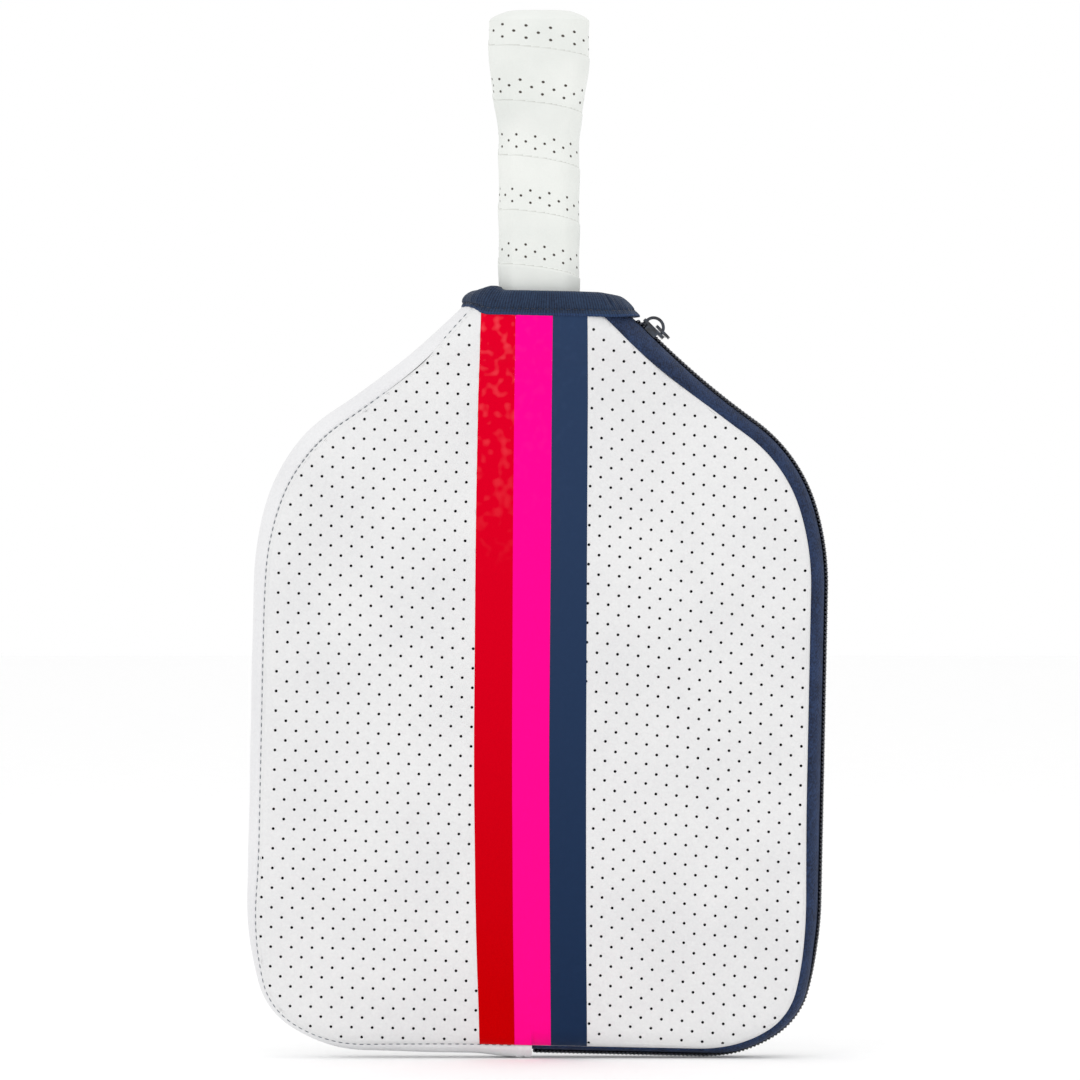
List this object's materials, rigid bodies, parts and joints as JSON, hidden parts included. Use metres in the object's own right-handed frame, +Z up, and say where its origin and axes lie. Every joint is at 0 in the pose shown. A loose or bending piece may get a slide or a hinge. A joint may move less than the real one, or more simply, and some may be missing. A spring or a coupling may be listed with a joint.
{
  "type": "paddle case",
  "caption": "Zipped neoprene case for a court paddle, with an elastic collar round the grip and a front that folds open; the paddle is inside.",
  "frame": {"origin": "on the ground under the middle of the case's box, the case standing on its bottom edge", "axes": "+Z up along the paddle's handle, front face towards -Y, zip on the +X side"},
  "size_m": [0.2291, 0.038, 0.4118],
  "materials": {
    "perforated_neoprene": "matt",
    "smooth_neoprene": "matt",
    "lining_jersey": "matt",
    "red_film": "gloss",
    "pink_film": "satin",
    "navy_film": "satin",
    "zip_tape": "matt",
    "zip_coil": "satin",
    "elastic_binding": "matt",
    "slider_enamel": "satin",
    "honeycomb_core": "matt",
    "paddle_skin": "matt",
    "edge_guard": "matt",
    "handle_foam": "matt",
    "butt_cap": "matt",
    "cushion_grip": "matt",
    "overgrip": "matt",
    "grip_band": "matt"
  },
  "bodies": {
    "case": {"front_panel": "perforated_neoprene", "front_lining": "lining_jersey", "back_panel": "perforated_neoprene", "back_lining": "lining_jersey", "stripe_red": "red_film", "stripe_pink": "pink_film", "stripe_navy": "navy_film", "side_gusset": "smooth_neoprene", "gusset_end_hem": "smooth_neoprene", "zip_tape_front_fixed": "zip_tape", "zip_coil_front_fixed": "zip_coil", "zip_tape_back": "zip_tape", "zip_coil_back": "zip_coil", "collar_binding": "elastic_binding", "paddle_core": "honeycomb_core", "paddle_face_front": "paddle_skin", "paddle_face_back": "paddle_skin", "paddle_edge_guard": "edge_guard", "paddle_handle_core": "handle_foam", "paddle_butt_cap": "butt_cap", "paddle_cushion_grip": "cushion_grip", "paddle_overgrip": "overgrip", "paddle_grip_band": "grip_band"},
    "flap": {"front_flap": "perforated_neoprene", "flap_lining": "lining_jersey", "zip_tape_front": "zip_tape", "zip_coil_front": "zip_coil"},
    "slider": {"slider_body": "slider_enamel", "slider_crown": "slider_enamel"},
    "pull": {"pull_tab": "slider_enamel"}
  },
  "joints": [
    {"name": "slider_travel", "type": "hinge", "parent": "case", "child": "slider", "pos_m": [0.2787, 0, 0.52002], "axis": [0, -1, 0], "range_deg": [0, 6.23]},
    {"name": "pull_swing", "type": "hinge", "parent": "slider", "child": "pull", "pos_m": [0.04835, 0, 0.2852], "axis": [-0.7076, 0, -0.7066], "range_deg": [0, 180]},
    {"name": "flap_fold", "type": "hinge", "parent": "case", "child": "flap", "pos_m": [0.02099, -0.0105, 0.00089], "axis": [-0.2224, 0, -0.975], "range_deg": [0, 100]}
  ]
}
